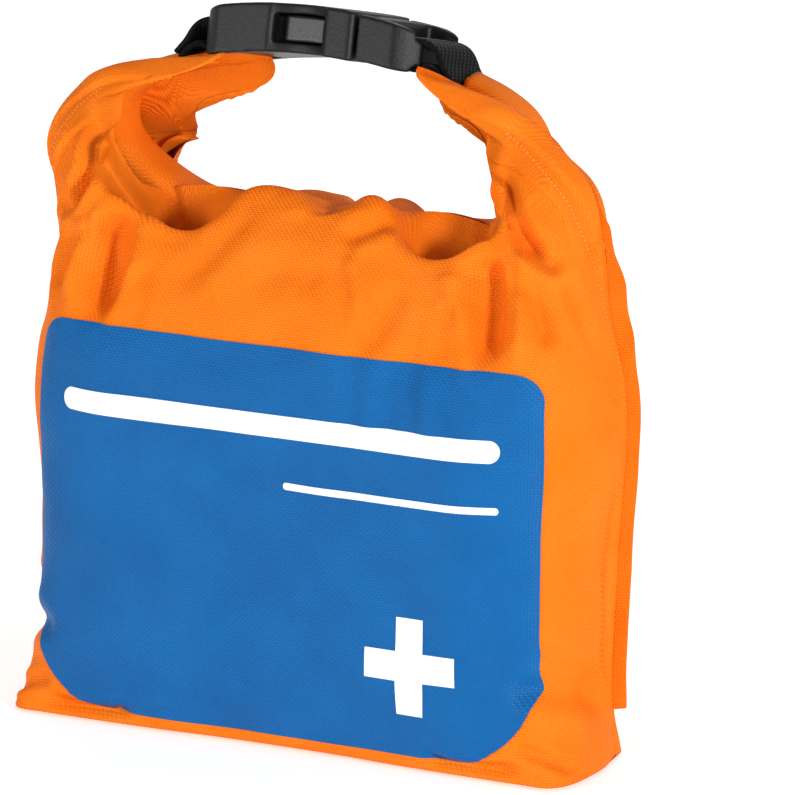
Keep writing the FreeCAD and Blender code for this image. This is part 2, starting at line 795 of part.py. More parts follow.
def bandage(label, x, height):
    """A rolled bandage that stands on the floor: a thick sleeve of cloth round a small hole."""
    centre_x, centre_y, low = share(x, -0.02, 0)
    radius = least(room_x * 0.147, room_y * 0.34)
    body = new_body(label)
    half = new_sketch(body, label + "_half", "XZ_Plane", -centre_y)
    inner, top, bend = radius * 0.22, low + room_z * height, radius * 0.14
    outline(half, [
        (centre_x + inner, low), (centre_x + radius - bend, low, bend),
        (centre_x + radius, low + bend), (centre_x + radius, top - bend, bend),
        (centre_x + radius - bend, top), (centre_x + inner, top),
    ])
    axis = new_sketch(body, label + "_axis", "XZ_Plane", -centre_y)
    foot = FreeCAD.Vector(centre_x.value, low.value, 0)
    index = axis.addGeometry(Part.LineSegment(foot, foot + FreeCAD.Vector(0, 10, 0)), False)
    axis.addConstraint(Sketcher.Constraint("Vertical", index))
    constrain(axis, "DistanceX", index, 1, centre_x)
    constrain(axis, "DistanceY", index, 1, low)
    constrain(axis, "DistanceY", index, 2, low + 10)
    turn = body.newObject("PartDesign::Revolution", label + "_turn")
    turn.Profile = half
    turn.ReferenceAxis = (axis, ["Edge1"])
    turn.Angle = 360
    return export(body, label)


def ring(label, x, z, y, outer, inner):
    """A ring that stands on edge, its axis along Y."""
    centre_x, y0, centre_z = share(x, y[0], z)
    y1 = room_y * y[1]
    return export(cylinder_body(label, "XZ_Plane", centre_x, centre_z, -y1, outer, y1 - y0, inner), label)


pack("triangular_bandage", (-0.70, -0.05), (0.42, 0.76), (0, 0.88))
pack("rescue_blanket", (-0.02, 0.70), (0.42, 0.76), (0, 0.80))
leaflet_low, leaflet_near, leaflet_z0 = share(-0.72, 0.35, 0)
leaflet_high, leaflet_far, leaflet_z1 = share(0.72, 0.38, 0.92)
export(box_body(
    "leaflet", leaflet_low, leaflet_near, leaflet_z0, leaflet_high, leaflet_far, leaflet_z1), "leaflet")
bandage("elastic_bandage", -0.78, 0.56)
bandage("gauze_bandage_left", -0.47, 0.50)
bandage("gauze_bandage_right", -0.16, 0.50)
tape_radius = least(room_x * 0.25, room_z * 0.165)
ring("tape_roll", 0.29, 0.17, (-0.30, 0.12), tape_radius, tape_radius * 0.72)
ring("tape_core", 0.29, 0.17, (-0.32, 0.14), tape_radius * 0.72, tape_radius * 0.66)
pack("gloves_pack", (0.62, 0.86), (-0.34, 0.30), (0, 0.58))
pack("compress_pack_low", (0.06, 0.56), (-0.34, 0.28), (0.39, 0.60))
pack("compress_pack_high", (0.06, 0.82), (-0.34, 0.28), (0.64, 0.88))
pack("plaster_strips", (-0.84, -0.50), (-0.30, 0.28), (0.62, 0.88))
pack("antiseptic_wipes", (-0.44, -0.02), (-0.30, 0.28), (0.60, 0.88))
pack("dressing_pack_low", (-0.70, -0.26), (-0.74, -0.40), (0, 0.56))
pack("dressing_pack_high", (-0.68, -0.04), (-0.66, -0.38), (0.62, 0.84))


# ---------------------------------------------------------------- scissors and tweezers

pivot_x, pivot_y, pivot_z = share(0.40, -0.60, 0.46)
blade_thick, blade_gap = cell("blade_thick"), cell("blade_gap")
rivet = cell("rivet_dia") / 2
reach_down, reach_up = room_z * 0.36, room_z * 0.26
loop_outer = room_x * 0.15
loop_inner = loop_outer * 0.68
loop_z = pivot_z + reach_up + loop_inner


def blade(name, side, near):
    """One half of the scissors: a pointed blade below the rivet and a shank that crosses over above it."""
    body = new_body(name)
    sketch = new_sketch(body, name + "_face", "XZ_Plane", -(near + blade_thick))
    x0, z0 = pivot_x, pivot_z
    out = as_size(side)
    corners = [
        (x0, z0 - reach_down), (x0 + out * 6, z0 - 6), (x0 + out * 5, z0 + 5),
        (x0 - out * 6, z0 + reach_up), (x0 - out * 11, z0 + reach_up),
        (x0 - out * 5, z0 + 3), (x0 - out * 4, z0 - 5),
    ]
    outline(sketch, corners if side > 0 else corners[:1] + corners[:0:-1])
    circle(sketch, x0, z0, rivet + (cell("rivet_play") if side > 0 else ZERO))
    pad(body, sketch, blade_thick, "One side")
    return body


def grip(name, side, near, shank):
    """The plastic finger loop moulded round the end of a shank."""
    thick = cell("grip_thick")
    low = near + blade_thick / 2 - thick / 2
    centre_x = pivot_x - (loop_outer + 1) * side
    offset = -(low + thick)
    loop = cylinder_body(name + "_loop", "XZ_Plane", centre_x, loop_z, offset, loop_outer, thick, loop_inner)
    return cut(name, loop, shank)


def rivet_body():
    """A rivet with a flat head on each side. The moving blade turns on it with a little play."""
    body = new_body("rivet")
    head = rivet * 1.8
    first = pivot_y - blade_gap / 2 - blade_thick
    last = pivot_y + blade_gap * 1.5 + blade_thick
    spans = [(first - 0.8, first, head), (first, last, rivet), (last, last + 0.8, head)]
    for i, (near, far, radius) in enumerate(spans):
        sketch = new_sketch(body, f"rivet_part{i}", "XZ_Plane", -far)
        circle(sketch, pivot_x, pivot_z, radius)
        pad(body, sketch, far - near, "One side")
    return body


blade_sides = (("fixed", -1, pivot_y - blade_gap / 2 - blade_thick), ("moving", 1, pivot_y + blade_gap / 2))
for word, side, near in blade_sides:
    half = blade(f"{word}_blade", side, near)
    export(half, f"scissor_blade_{word}")
    export(grip(f"{word}_grip", side, near, half), f"scissor_grip_{word}")
export(rivet_body(), "scissor_rivet")

tweezer_half = cell("tweezer_width") / 2
thick = cell("tweezer_thick")
middle_x, middle_y, top_z = share(-0.13, -0.57, 0.60)
tip_z = floor + room_z * 0.03
base_z = top_z - 8
waist_z = (tip_z + base_z) / 2
seat_x, seat_z = middle_x + thick * 0.75, base_z + 2


def tweezer_plate(name, corners):
    body = new_body(name)
    sketch = new_sketch(body, name + "_side", "XZ_Plane", -(middle_y + tweezer_half))
    outline(sketch, corners)
    pad(body, sketch, tweezer_half * 2, "One side")
    return body


tweezer_block = tweezer_plate("tweezer_block", [
    (middle_x - thick * 1.5, top_z), (middle_x - thick * 1.5, base_z), (middle_x - thick * 3, waist_z),
    (middle_x - thick * 1.6, tip_z), (middle_x - thick * 0.9, tip_z), (middle_x - thick * 2, waist_z),
    (middle_x - thick * 0.5, base_z), (middle_x + thick * 1.9, base_z), (middle_x + thick * 1.9, top_z),
])
play = cell("pivot_play")
tweezer_seat = cylinder_body(
    "tweezer_seat", "XZ_Plane", seat_x, seat_z, -beyond, thick / 2 + play, beyond * 2)
tweezer_throat = box_body(
    "tweezer_throat", seat_x - thick / 2 - play * 3, -beyond, base_z - 1,
    seat_x + thick / 2 + play * 4, beyond, seat_z)
export(cut("tweezer_fixed", tweezer_block, tweezer_seat, tweezer_throat), "tweezer_arm_fixed")
tweezer_arm = tweezer_plate("tweezer_arm", [
    (seat_x - thick / 2, seat_z), (middle_x + thick * 2, waist_z), (middle_x + thick * 0.9, tip_z),
    (middle_x + thick * 1.6, tip_z), (middle_x + thick * 3, waist_z), (seat_x + thick / 2, seat_z),
])
tweezer_root = cylinder_body(
    "tweezer_root", "XZ_Plane", seat_x, seat_z, -(middle_y + tweezer_half), thick / 2, tweezer_half * 2)
export(fuse("tweezer_moving", tweezer_arm, tweezer_root), "tweezer_arm_moving")

doc.recompute()
os.makedirs("parts", exist_ok=True)
for piece in doc.Objects:
    if "Invalid" in piece.State or "Error" in piece.State:
        raise RuntimeError(f"{piece.Label} failed: {piece.State}")
for piece in exported:
    if piece.Shape.isNull() or not piece.Shape.isValid():
        raise RuntimeError(f"{piece.Label} has no valid shape")
    piece.Shape.exportStep(f"parts/{piece.Label}.step")
    box = piece.Shape.optimalBoundingBox(False)
    print(f"{piece.Label:28s} solids {len(piece.Shape.Solids)}  volume {piece.Shape.Volume:10.1f}"
          f"  x {box.XMin:7.1f} {box.XMax:7.1f}  y {box.YMin:6.1f} {box.YMax:6.1f}"
          f"  z {box.ZMin:6.1f} {box.ZMax:6.1f}")
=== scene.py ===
import bpy
import bmesh
import json
import math
import numpy as np
from mathutils import Matrix, Vector
from mathutils.bvhtree import BVHTree


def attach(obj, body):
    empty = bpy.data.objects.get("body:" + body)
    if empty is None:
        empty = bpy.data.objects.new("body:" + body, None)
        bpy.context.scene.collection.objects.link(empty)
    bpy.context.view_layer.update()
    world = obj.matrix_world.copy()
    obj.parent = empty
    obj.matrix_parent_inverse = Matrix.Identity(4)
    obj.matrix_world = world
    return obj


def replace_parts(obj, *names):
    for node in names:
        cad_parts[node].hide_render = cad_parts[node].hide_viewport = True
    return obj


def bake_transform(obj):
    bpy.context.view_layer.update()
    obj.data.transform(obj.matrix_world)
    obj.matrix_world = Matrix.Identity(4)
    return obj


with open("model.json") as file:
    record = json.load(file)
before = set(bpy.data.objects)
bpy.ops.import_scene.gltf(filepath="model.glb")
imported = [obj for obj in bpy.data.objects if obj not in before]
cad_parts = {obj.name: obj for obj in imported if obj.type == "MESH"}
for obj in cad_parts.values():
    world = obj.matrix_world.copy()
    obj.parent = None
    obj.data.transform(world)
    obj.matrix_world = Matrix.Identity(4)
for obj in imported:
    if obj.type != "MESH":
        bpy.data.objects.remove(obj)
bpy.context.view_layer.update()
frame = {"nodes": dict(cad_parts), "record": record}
MM = 0.001
LEAN = math.radians(13.0)
HINGE_Z = 114.0
HANDLE_X = -6.5


# ---------------------------------------------------------------- camera, light and floor

def look_at(location, target):
    direction = Vector(target) - Vector(location)
    return direction.to_track_quat("-Z", "Y").to_euler()


def add_camera():
    azimuth, elevation, distance = math.radians(28), math.radians(14), 1.71
    target = Vector((0.01447, 0, 0.0760))
    level = math.cos(elevation)
    away = Vector((math.sin(azimuth) * level, -math.cos(azimuth) * level, math.sin(elevation)))
    data = bpy.data.cameras.new("camera")
    data.sensor_width = 36
    data.lens = 348.4
    camera = bpy.data.objects.new("camera", data)
    camera.location = target + away * distance
    camera.rotation_euler = look_at(camera.location, target)
    bpy.context.scene.collection.objects.link(camera)
    bpy.context.scene.camera = camera


def add_light(name, place, target, size, power):
    data = bpy.data.lights.new(name, "AREA")
    data.shape = "DISK"
    data.size = size
    data.energy = power
    light = bpy.data.objects.new(name, data)
    light.location = place
    light.rotation_euler = look_at(place, target)
    bpy.context.scene.collection.objects.link(light)


def add_studio():
    world = bpy.data.worlds.new("studio")
    world.use_nodes = True
    background = world.node_tree.nodes["Background"]
    background.inputs["Color"].default_value = (1, 1, 1, 1)
    background.inputs["Strength"].default_value = 0.45
    bpy.context.scene.world = world
    bpy.context.scene.view_settings.view_transform = "Standard"
    middle = (0, 0, 0.08)
    add_light("key", (1.3, -0.75, 0.38), middle, 0.28, 19)
    add_light("left", (-0.7, -1.3, 0.3), middle, 0.6, 10)
    add_light("rim", (-0.2, 1.0, 0.9), middle, 0.6, 3)
    mesh = bpy.data.meshes.new("floor")
    reach, gap = 3.0, 0.0004
    corners = [(-reach, -reach, 0), (reach, -reach, 0), (reach, reach, 0), (-reach, reach, 0)]
    mesh.from_pydata(corners, [], [(0, 1, 2, 3)])
    floor = bpy.data.objects.new("floor", mesh)
    floor.location.z = -gap
    bpy.context.scene.collection.objects.link(floor)
    material = bpy.data.materials.new("pale_floor")
    material.use_nodes = True
    shader = material.node_tree.nodes["Principled BSDF"]
    shader.inputs["Base Color"].default_value = (0.9, 0.9, 0.9, 1)
    shader.inputs["Roughness"].default_value = 0.7
    shader.inputs["Emission Color"].default_value = (1, 1, 1, 1)
    shader.inputs["Emission Strength"].default_value = 0.45
    mesh.materials.append(material)


# ---------------------------------------------------------------- materials

def new_material(name):
    material = bpy.data.materials.new(name)
    material.use_nodes = True
    tree = material.node_tree
    return material, tree, tree.nodes["Principled BSDF"]


def node(tree, kind, **values):
    made = tree.nodes.new(kind)
    for key, value in values.items():
        setattr(made, key, value)
    return made


def math_node(tree, operation, a, b=None):
    made = node(tree, "ShaderNodeMath", operation=operation)
    for socket, value in zip(made.inputs, (a, b)):
        if value is None:
            continue
        if isinstance(value, (int, float)):
            socket.default_value = value
        else:
            tree.links.new(value, socket)
    return made.outputs[0]


def noise(tree, vector, scale, detail=3.0, roughness=0.55):
    made = node(tree, "ShaderNodeTexNoise")
    made.inputs["Scale"].default_value = scale
    made.inputs["Detail"].default_value = detail
    made.inputs["Roughness"].default_value = roughness
    tree.links.new(vector, made.inputs["Vector"])
    return made.outputs["Fac"]


def ramp(tree, fac, low, high):
    """Maps fac from low..high to 0..1."""
    made = node(tree, "ShaderNodeMapRange")
    made.inputs["From Min"].default_value = low
    made.inputs["From Max"].default_value = high
    tree.links.new(fac, made.inputs["Value"])
    return made.outputs["Result"]


def mix_colour(tree, fac, first, second):
    made = node(tree, "ShaderNodeMix", data_type="RGBA")
    tree.links.new(fac, made.inputs["Factor"])
    for socket, colour in ((made.inputs[6], first), (made.inputs[7], second)):
        if isinstance(colour, tuple):
            socket.default_value = (*colour, 1)
        else:
            tree.links.new(colour, socket)
    return made.outputs[2]


def add_bump(tree, shader, height, distance, strength=1.0, normal=None):
    bump = node(tree, "ShaderNodeBump")
    bump.inputs["Distance"].default_value = distance
    bump.inputs["Strength"].default_value = strength
    tree.links.new(height, bump.inputs["Height"])
    if normal is not None:
        tree.links.new(normal, bump.inputs["Normal"])
    if shader is not None:
        tree.links.new(bump.outputs["Normal"], shader.inputs["Normal"])
    return bump.outputs["Normal"]


def weave_height(tree, u, v, pitch):
    """Height of a plain weave: threads along u and v take turns on top."""
    across = math_node(tree, "MULTIPLY", u, math.pi / pitch)
    along = math_node(tree, "MULTIPLY", v, math.pi / pitch)
    sine_u = math_node(tree, "SINE", across)
    sine_v = math_node(tree, "SINE", along)
    product = math_node(tree, "MULTIPLY", sine_u, sine_v)
    warp = math_node(tree, "GREATER_THAN", product, 0.0)
    weft = math_node(tree, "SUBTRACT", 1.0, warp)
    first = math_node(tree, "MULTIPLY", math_node(tree, "ABSOLUTE", sine_u), warp)
    second = math_node(tree, "MULTIPLY", math_node(tree, "ABSOLUTE", sine_v), weft)
    return math_node(tree, "ADD", first, second)


def flat_coordinates(tree):
    """The fabric's own flat coordinates, in metres, kept in the mesh's UV map."""
    uv = node(tree, "ShaderNodeUVMap", uv_map="cloth")
    split = node(tree, "ShaderNodeSeparateXYZ")
    tree.links.new(uv.outputs["UV"], split.inputs["Vector"])
    return split.outputs["X"], split.outputs["Y"]


def vary_roughness(tree, shader, fac, least, spread):
    """Roughness from least to least + spread as fac goes from 0 to 1."""
    rough = math_node(tree, "ADD", math_node(tree, "MULTIPLY", fac, spread), least)
    tree.links.new(rough, shader.inputs["Roughness"])


def fabric_material(
        name, base, dark, pitch=0.0006, depth=0.0001, roughness=0.55, sheen=0.0, gap_shade=0.8, specular=0.1):
    """Woven cloth, cloudy between base and dark. Between its threads, in the weave's hollows, it is darker:
    dark times its gap factor, a painted shade.
    """
    material, tree, shader = new_material(name)
    u, v = flat_coordinates(tree)
    place = node(tree, "ShaderNodeTexCoord").outputs["Object"]
    height = weave_height(tree, u, v, pitch)
    cloudy = noise(tree, place, scale=60, detail=3)
    fine = noise(tree, place, scale=900, detail=2)
    shade = mix_colour(tree, ramp(tree, cloudy, 0.35, 0.65), dark, base)
    # Painted shade: the weave's hollows between the threads are given a darker colour than the thread tops.
    low = tuple(channel * gap_shade for channel in dark)
    mixed = mix_colour(tree, ramp(tree, height, 0.0, 0.75), low, shade)
    tree.links.new(mixed, shader.inputs["Base Color"])
    vary_roughness(tree, shader, fine, roughness - 0.09, spread=0.18)
    shader.inputs["IOR"].default_value = 1.3
    shader.inputs["Sheen Weight"].default_value = sheen
    shader.inputs["Sheen Roughness"].default_value = 0.4
    shader.inputs["Specular IOR Level"].default_value = specular
    creases = noise(tree, place, scale=220, detail=4)
    coarse = add_bump(tree, None, creases, distance=0.0004, strength=0.35)
    add_bump(tree, shader, height, depth, normal=coarse)
    return material


def plastic_material(name, colour, roughness, grain, scale=2600, specular=0.35):
    """Moulded plastic with a spark-eroded grain, a little darker in cloudy patches."""
    material, tree, shader = new_material(name)
    place = node(tree, "ShaderNodeTexCoord").outputs["Object"]
    spark = noise(tree, place, scale, detail=4, roughness=0.7)
    wear = noise(tree, place, scale=140, detail=3)
    tone = mix_colour(tree, ramp(tree, wear, 0.3, 0.7), tuple(c * 0.8 for c in colour), colour)
    tree.links.new(tone, shader.inputs["Base Color"])
    vary_roughness(tree, shader, spark, roughness - 0.12, spread=0.25)
    shader.inputs["Specular IOR Level"].default_value = specular
    add_bump(tree, shader, spark, grain)
    return material


ORANGE = (0.88, 0.19, 0.012)
ORANGE_DARK = (0.83, 0.162, 0.006)
BLUE = (0.001, 0.108, 0.33)
BLUE_DARK = (0.001, 0.09, 0.285)

materials = {
    "orange": fabric_material("coated_orange", ORANGE, ORANGE_DARK),
    "blue": fabric_material(
        "printed_blue", BLUE, BLUE_DARK, depth=0.00008, roughness=0.45, gap_shade=0.85, specular=0.3),
    "white": fabric_material(
        "printed_white", (0.84, 0.85, 0.86), (0.80, 0.81, 0.82), depth=0.00004, gap_shade=0.93),
    "seam": fabric_material(
        "welded_seam", (0.88, 0.16, 0.005), (0.80, 0.132, 0.004), depth=0.00012, roughness=0.45),
    "weld": fabric_material(
        "weld_dots", (1.0, 0.34, 0.07), (1.0, 0.28, 0.04), depth=0.00005, roughness=0.4, gap_shade=0.95),
    "webbing": fabric_material(
        "black_webbing", (0.008, 0.008, 0.009), (0.005, 0.005, 0.006), pitch=0.0009, depth=0.00014,
        roughness=0.7, sheen=0.05, gap_shade=0.5, specular=0.08),
    "black": plastic_material(
        "black_plastic", (0.004, 0.004, 0.0043), roughness=0.4, grain=0.0001, scale=1900, specular=0.26),
    "smooth_black": plastic_material(
        "smooth_black", (0.003, 0.003, 0.0035), roughness=0.3, grain=0.000008, specular=0.25),
}


# ---------------------------------------------------------------- mesh helpers

def cubic(knots, values, queries):
    """Catmull-Rom through values at knots, read at queries. values is (knots, ...)."""
    knots, values = np.asarray(knots, float), np.asarray(values, float)
    slopes = np.gradient(values, knots, axis=0)
    spot = np.clip(np.searchsorted(knots, queries, side="right") - 1, 0, len(knots) - 2)
    step = knots[spot + 1] - knots[spot]
    part = (queries - knots[spot]) / step
    shape = (-1,) + (1,) * (values.ndim - 1)
    part, step = part.reshape(shape), step.reshape(shape)
    h00, h10 = 2 * part**3 - 3 * part**2 + 1, part**3 - 2 * part**2 + part
    h01, h11 = -2 * part**3 + 3 * part**2, part**3 - part**2
    start = h00 * values[spot] + h10 * step * slopes[spot]
    return start + h01 * values[spot + 1] + h11 * step * slopes[spot + 1]


def shade_smooth(mesh):
    mesh.polygons.foreach_set("use_smooth", [True] * len(mesh.polygons))


def add_object(name, mesh):
    piece = bpy.data.objects.new(name, mesh)
    bpy.context.scene.collection.objects.link(piece)
    return piece


def mesh_object(name, points, faces, uvs, material):
    """A smooth piece from points in millimetres. uvs are the points' places on the flat cloth, in metres."""
    mesh = bpy.data.meshes.new(name)
    mesh.from_pydata([tuple(p) for p in np.asarray(points) * MM], [], faces)
    layer = mesh.uv_layers.new(name="cloth")
    loops = np.empty(len(mesh.loops), int)
    mesh.loops.foreach_get("vertex_index", loops)
    layer.data.foreach_set("uv", np.asarray(uvs, float)[loops].ravel())
    shade_smooth(mesh)
    mesh.materials.append(material)
    return add_object(name, mesh)


def grid_faces(rows, columns, start=0, flip=False):
    """The faces between the points of a grid, whose first point has the number start."""
    faces = []
    for i in range(rows - 1):
        for j in range(columns - 1):
            a = start + i * columns + j
            b, c, d = a + 1, a + columns + 1, a + columns
            faces.append((a, d, c, b) if flip else (a, b, c, d))
    return faces


def apply_modifiers(piece):
    bpy.context.view_layer.update()
    graph = bpy.context.evaluated_depsgraph_get()
    baked = bpy.data.meshes.new_from_object(piece.evaluated_get(graph), depsgraph=graph)
    old = piece.data
    piece.modifiers.clear()
    piece.data = baked
    bpy.data.meshes.remove(old)


def thicken(piece, thickness, subdivide=0):
    """Gives a sheet its thickness, half of it on each side."""
    solid = piece.modifiers.new("solid", "SOLIDIFY")
    solid.thickness = thickness * MM
    solid.offset = 0.0
    if subdivide:
        sub = piece.modifiers.new("sub", "SUBSURF")
        sub.levels = sub.render_levels = subdivide
    apply_modifiers(piece)
    shade_smooth(piece.data)


# ---------------------------------------------------------------- the bag's surface

# Right half of the front in millimetres (x, y, z), column by column from the middle to the side seam. A
# column runs from the floor up the front, then over the top ridge or up the ear to the rolled mouth's edge.
# COLUMN_S and ROW_T give every column's share of the half width and every row's share of the height.
COLUMN_S = [0.0, 0.19, 0.31, 0.40, 0.48, 0.52, 0.56, 0.69, 0.80, 0.90, 0.95, 1.0]
ROW_T = [0.0, 0.1, 0.33, 0.6, 0.74, 0.81, 0.87, 0.93, 1.0]
COLUMNS = [
    [(0, -28, .6), (0, -31, 13), (0, -31, 45), (0, -28.5, 85), (0, -21.5, 105), (0, -16, 115),
     (0, -12, 119.3), (0, -7, 121.2), (0, -1, 119)],
    [(17.5, -28.3, .6), (17.5, -31, 13), (17.5, -31.2, 45), (17.5, -28.5, 85), (17.5, -21.5, 105),
     (17.3, -16.5, 114), (17, -12.5, 118), (17, -7.5, 120.6), (17, -1, 119)],
    [(28, -29, .6), (28, -31.4, 13), (28, -31.3, 45), (28, -28.5, 85), (28, -21, 104.5),
     (27.5, -17.5, 109.5), (27.2, -14, 112.2), (27, -9, 108), (26.5, -1.5, 119.8)],
    [(36, -29.3, .6), (36.5, -31.5, 13), (37, -31.3, 45), (36.8, -28.5, 85), (36, -21, 103.5),
     (35.5, -18, 109.5), (35.2, -14.5, 112.8), (34.5, -7, 99), (33.5, -1, 118.8)],
    [(44, -29.5, .6), (44.3, -31.2, 13), (44.8, -31, 45), (44.5, -28.3, 85), (43.7, -21, 103),
     (43, -17.5, 110.5), (42.4, -14, 117.5), (40.5, -6, 101), (39, -0.5, 117.5)],
    [(47.7, -29.5, .6), (48.1, -30.8, 13), (48.4, -30.5, 45), (48, -27.8, 85), (46.8, -20.8, 103),
     (45.8, -17.5, 111.2), (44.7, -14, 118.4), (43, -8, 113), (41.6, -4.5, 119.5)],
    [(51.5, -29.5, .6), (52, -30.2, 13), (52, -29.8, 45), (51.5, -27, 85), (50, -20.5, 103),
     (48.7, -17.5, 112), (47, -14, 119), (44.8, -10.5, 123), (42, -7, 126.3)],
    [(60, -29.5, .6), (61.5, -27.5, 13), (61.5, -25.5, 45), (61, -24, 85), (57.5, -19, 103),
     (53.5, -15.5, 114), (49.5, -12.5, 122), (44.5, -9, 129.2), (39.6, -6, 134.8)],
    [(68, -28.5, .6), (67.5, -20, 13), (67, -18, 45), (67.5, -17, 85), (63, -14.5, 103.5),
     (58.3, -12.5, 115.5), (53, -9.5, 125.5), (46, -6.5, 135), (38, -5, 141.8)],
    [(71, -19.5, .6), (68.6, -9.5, 13), (69.3, -9.5, 45), (70.6, -9, 85), (66.2, -8.5, 104),
     (62.8, -7.5, 117), (57, -5, 128.5), (44.8, -4.5, 139), (28, -7, 146.6)],
    [(71, -9.5, .6), (68.6, -4.6, 13), (69.6, -4.7, 45), (71, -4.5, 85), (66.8, -4.2, 104),
     (64.2, -3, 117), (58.6, -1, 129), (43.6, -2, 141.6), (23, -6.5, 150.2)],
    [(69, 0, .6), (68.3, 0, 13), (69.5, 0, 45), (71, 0, 85), (66.8, .3, 104),
     (64.8, 1.5, 117), (59.4, 3.5, 129.4), (42.6, 1, 143.6), (21.5, -4.5, 152)],
]
# The mesh's own columns and rows lie closer together on the ears than elsewhere.
HALF_S = np.concatenate([np.linspace(0, 0.5, 50), np.linspace(0.5, 1, 100)[1:]])
T = np.concatenate([np.linspace(0, 0.72, 110), np.linspace(0.72, 1, 110)[1:]])
S = np.concatenate([-HALF_S[:0:-1], HALF_S])
N_S, N_T = len(S), len(T)


def lean_y(z):
    """How far back the handle's middle plane is at height z."""
    return np.maximum(z - HINGE_Z, 0) * math.tan(LEAN)


def smooth(low, high, value):
    part = np.clip((value - low) / (high - low), 0, 1)
    return part * part * (3 - 2 * part)


def left_shift(x, z):
    """The handle sits a little to the left: the left ear is moved out, its tip only half as far."""
    up_the_ear = smooth(100, 138, z) - 0.5 * smooth(138, 150, z)
    return 2 * HANDLE_X * up_the_ear * smooth(0, 40, -x)


def front_surface():
    net = np.array(COLUMNS, float)                     # column, row, xyz
    rows = cubic(ROW_T, np.swapaxes(net, 0, 1), T)     # t, column, xyz
    mirrored = rows[:, :0:-1] * np.array([-1, 1, 1])
    full = np.concatenate([mirrored, rows], axis=1)
    knots = [-value for value in COLUMN_S[:0:-1]] + COLUMN_S
    grid = cubic(knots, np.swapaxes(full, 0, 1), S)    # s, t, xyz
    grid = np.swapaxes(grid, 0, 1).copy()
    grid[..., 0] += left_shift(grid[..., 0], grid[..., 2])
    return grid


# By what share the back is flatter than the front, and narrower at the side and near the floor
BACK_FLATTER, BACK_NARROWER, NARROWER_LOW = 0.22, 0.04, 0.14
# By what share of its distance from the front the back is lower behind the ridge, and moved on the ears
RIDGE_DROP = 0.24
EAR_PULL, EAR_THIN, EAR_DROP, LESS_AT_TIP = 0.36, 0.32, 0.30, 0.12


def back_surface(front):
    """The back: the front mirrored about the handle's leaning plane, then changed.

    Its outer parts are flatter and narrower, and it is lower behind the top ridge. On the ears it is pulled
    in towards the middle, made thinner and lowered."""
    back = front.copy()
    height, across = front[..., 2], np.abs(S)
    outer = smooth(0.45, 0.85, across)
    back[..., 1] = 2 * lean_y(height) - front[..., 1] * (1 - BACK_FLATTER * outer)
    pull = BACK_NARROWER + NARROWER_LOW * (1 - smooth(0, 25, height))
    back[..., 0] *= 1 - pull * outer * (1 - smooth(0.88, 1.0, across))
    apart = back[..., 1] - front[..., 1]
    back[..., 2] -= RIDGE_DROP * apart * smooth(92, 119, height) * (1 - smooth(0.42, 0.62, across))
    depth = apart * smooth(116, 134, height)
    back[..., 0] -= np.sign(S) * EAR_PULL * depth * (1 - smooth(144, 154, height))
    back[..., 1] -= EAR_THIN * depth * smooth(130, 144, height)
    drop = EAR_DROP - LESS_AT_TIP * smooth(136, 148, height)
    back[..., 2] -= drop * depth * smooth(120, 138, height)
    return back


def cloth_coordinates(grid):
    """Each point's flat place in metres, along the cloth from the middle column and the lowest row."""
    across = np.linalg.norm(np.diff(grid, axis=1), axis=-1)
    up = np.linalg.norm(np.diff(grid, axis=0), axis=-1)
    u = np.concatenate([np.zeros((N_T, 1)), np.cumsum(across, axis=1)], axis=1)
    v = np.concatenate([np.zeros((1, N_S)), np.cumsum(up, axis=0)], axis=0)
    return np.stack([u - u[:, N_S // 2:N_S // 2 + 1], v], axis=-1) * MM


# The weave's coordinates are measured before the folds are pressed in, and the back has the same ones.
front = front_surface()
uv_grid = cloth_coordinates(front)


# ---------------------------------------------------------------- folds in the fabric

# A place on the front is (share of the half width, share of the height) of the flat cloth.
PATH_STEPS = 20


def normals_of(grid):
    normal = np.cross(np.gradient(grid, axis=1), np.gradient(grid, axis=0))
    return normal / np.linalg.norm(normal, axis=-1, keepdims=True)


def finer(path):
    """A path with more places, on a smooth line through its own."""
    return cubic(np.linspace(0, 1, len(path)), np.array(path, float), np.linspace(0, 1, PATH_STEPS + 1))


def on_front(path):
    """A smooth line on the front, in millimetres, through the places of a path."""
    spots = finer(path)
    row = np.interp(spots[:, 1], T, np.arange(N_T))
    column = np.interp(spots[:, 0], S, np.arange(N_S))
    i, j = np.minimum(row.astype(int), N_T - 2), np.minimum(column.astype(int), N_S - 2)
    up, right = (row - i)[:, None], (column - j)[:, None]
    low = front[i, j] * (1 - right) + front[i, j + 1] * right
    high = front[i + 1, j] * (1 - right) + front[i + 1, j + 1] * right
    return low * (1 - up) + high * up


def nearest(path):
    """How far every point of the front is from a path, and how far along the path that is, 0 to 1."""
    line = on_front(path)
    away, along = np.full(front.shape[:2], np.inf), np.zeros(front.shape[:2])
    for k, (first, last) in enumerate(zip(line[:-1], line[1:])):
        span = last - first
        part = np.clip(((front - first) @ span) / (span @ span), 0, 1)
        distance = np.linalg.norm(front - first - part[..., None] * span, axis=-1)
        closer = distance < away
        away[closer] = distance[closer]
        along[closer] = (k + part[closer]) / (len(line) - 1)
    return away, along


def fold(path, depth, width):
    """Height of a fold: a valley where depth is above 0, with a low rim on each side. Its ends fade out."""
    rim, rim_away, rim_width, ends = 0.3, 2, 0.8, 0.25
    away, along = nearest(path)
    fade = smooth(0, ends, along) * smooth(0, ends, 1 - along)
    part = away / width
    return -depth * fade * (np.exp(-part**2) - rim * np.exp(-((part - rim_away) / rim_width) ** 2))


def inside(corners, s, t):
    """Which places lie inside an outline."""
    hit = np.zeros(s.shape, bool)
    for (s0, t0), (s1, t1) in zip(corners, corners[1:] + corners[:1]):
        crosses = (t0 > t) != (t1 > t)
        slope = (s1 - s0) / (t1 - t0) if t1 != t0 else 0.0
        hit ^= crosses & (s < s0 + slope * (t - t0))
    return hit


